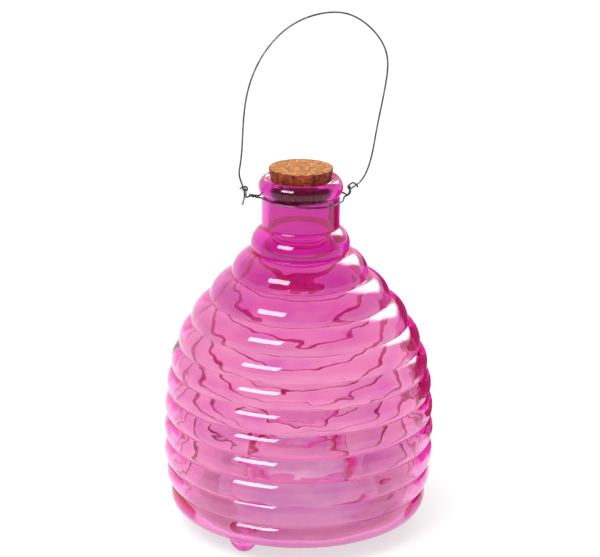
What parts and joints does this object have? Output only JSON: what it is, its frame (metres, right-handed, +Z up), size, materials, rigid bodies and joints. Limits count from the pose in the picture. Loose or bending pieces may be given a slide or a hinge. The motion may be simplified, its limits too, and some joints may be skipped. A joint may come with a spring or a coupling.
{
  "type": "wasp trap",
  "caption": "Ribbed bell-shaped glass wasp trap with an entry funnel in its open base, glass feet, a cork stopper and a wire bail for hanging.",
  "frame": {"origin": "on the jar's axis, at the plane of the three feet's ground-flat tips", "axes": "+Z up along the jar's axis, -Y towards the front, +X to the right as seen from the front"},
  "size_m": [0.14, 0.14, 0.2699],
  "materials": {
    "pink_glass": "clear pink hand-blown glass, deeper magenta where it is thick",
    "cork": "fine-grained agglomerate cork, matt",
    "dark_wire": "dull dark steel wire"
  },
  "bodies": {
    "jar": {"glass_body": "pink_glass", "foot_front_left": "pink_glass", "foot_right": "pink_glass", "foot_rear_left": "pink_glass"},
    "cork": {"cork_stopper": "cork"},
    "neck_ring": {"neck_wire": "dark_wire"},
    "bail": {"bail_wire": "dark_wire"}
  },
  "joints": [
    {"name": "cork_lift", "type": "slide", "parent": "jar", "child": "cork", "axis": [0, 0, 1], "range_m": [0, 0.05]},
    {"name": "neck_wire_turn", "type": "hinge", "parent": "jar", "child": "neck_ring", "pos_m": [0, 0, 0.175], "axis": [0, 0, 1], "continuous": true},
    {"name": "bail_swing", "type": "hinge", "parent": "neck_ring", "child": "bail", "pos_m": [0, 0, 0.1783], "axis": [0.9893, 0.1461, 0], "range_deg": [-130, 130]}
  ]
}
